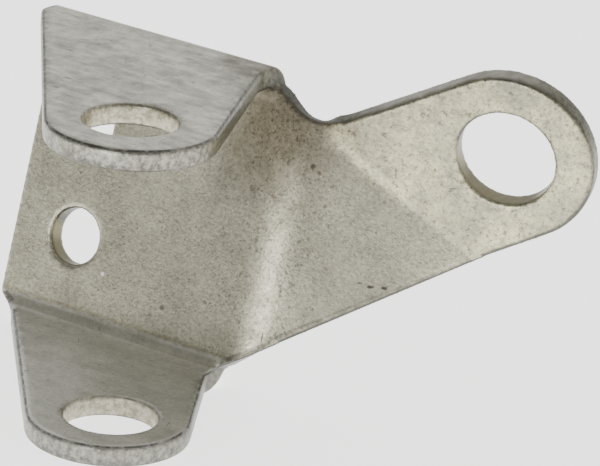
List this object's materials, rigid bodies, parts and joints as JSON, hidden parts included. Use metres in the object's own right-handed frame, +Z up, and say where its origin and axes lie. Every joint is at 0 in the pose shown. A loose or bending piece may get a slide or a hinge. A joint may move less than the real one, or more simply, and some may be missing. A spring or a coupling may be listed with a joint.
{
  "type": "stamped metal bracket",
  "caption": "Folded sheet-steel bracket: two tapered ears on one pin axis, a leaning web with small holes, and a rolled and folded arm with a bored round end.",
  "frame": {"origin": "on the pin axis, half way between the inner faces of the two ears", "axes": "+Z up the pin axis, +X along the ears' bend lines towards the arm, +Y from the pin back through the web"},
  "size_m": [0.0771, 0.0552, 0.0476],
  "materials": {
    "zinc_plated_steel": "worn dull zinc plating with dark pits"
  },
  "bodies": {
    "root": {"bracket": "zinc_plated_steel"}
  },
  "joints": []
}
